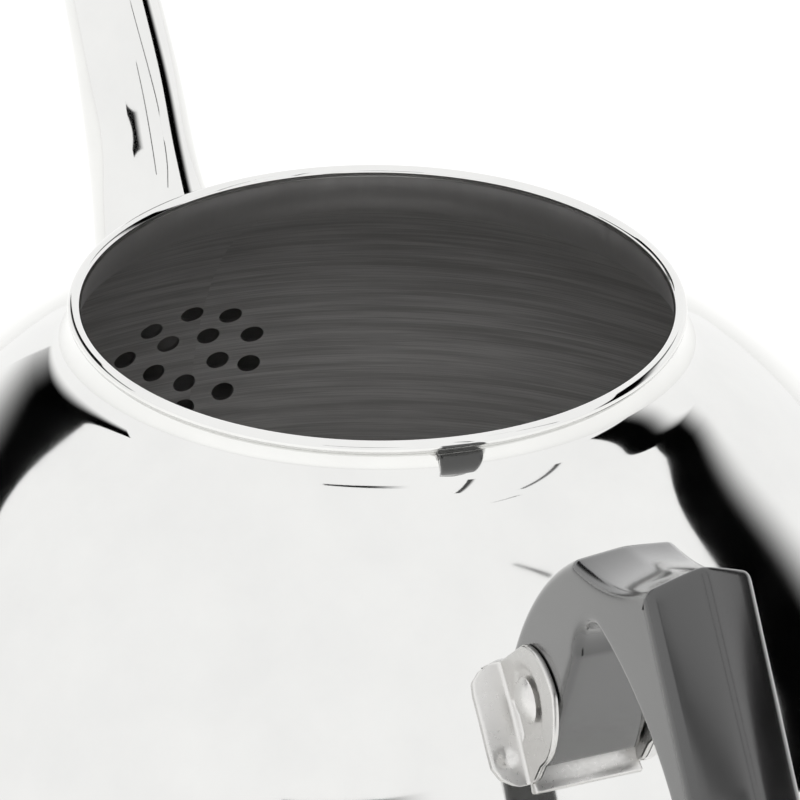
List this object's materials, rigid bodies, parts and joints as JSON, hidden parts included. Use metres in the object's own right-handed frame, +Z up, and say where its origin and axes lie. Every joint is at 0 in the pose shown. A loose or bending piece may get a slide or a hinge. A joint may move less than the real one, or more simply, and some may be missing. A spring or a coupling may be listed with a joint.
{
  "type": "stovetop whistling kettle",
  "caption": "Dome-shaped steel kettle with open mouth, strainer, swan-neck spout with flip-up whistle, black side handle and a loose lid beside it.",
  "frame": {"origin": "middle of the underside of the base, on the level the kettle stands on", "axes": "+Z up, +X towards the spout, -X towards the handle; the removed lid stands on the same level towards -Y"},
  "size_m": [0.33, 0.3251, 0.1586],
  "materials": {
    "polished_steel": "mirror-polished stainless steel, brushed inside",
    "satin_steel": "lathe-turned stainless steel",
    "plain_steel": "plain stainless steel hardware",
    "spring_steel": "drawn spring wire",
    "aluminium_core": "plain rolled aluminium",
    "phenolic": "moulded black phenolic with a soft polish"
  },
  "bodies": {
    "kettle": {"body_shell": "polished_steel", "base_pan": "polished_steel", "base_core": "aluminium_core", "base_cap": "satin_steel", "spout": "polished_steel", "handle_bracket": "polished_steel", "handle_grip": "phenolic", "handle_rivet": "plain_steel", "whistle_collar": "polished_steel", "hinge_pin": "plain_steel", "hinge_spring": "spring_steel"},
    "whistle": {"whistle_cap": "polished_steel", "whistle_inner_disc": "plain_steel", "whistle_outer_disc": "plain_steel", "whistle_lever": "polished_steel", "thumb_pad": "phenolic", "lever_rivets": "plain_steel"},
    "lid": {"lid_plug": "polished_steel", "lid_shell": "polished_steel", "knob_ferrule": "polished_steel", "lid_knob": "phenolic", "knob_washer": "plain_steel", "knob_screw": "plain_steel"}
  },
  "joints": [
    {"name": "whistle_hinge", "type": "hinge", "parent": "kettle", "child": "whistle", "pos_m": [0.14931, 0, 0.13611], "axis": [0, -1, 0], "range_deg": [0, 100], "stiffness_Nm_per_rad": 0.01, "springref_deg": -20.05},
    {"name": "lid_lift", "type": "slide", "parent": "kettle", "child": "lid", "axis": [0, 0, 1], "range_m": [0, 0.08]}
  ]
}
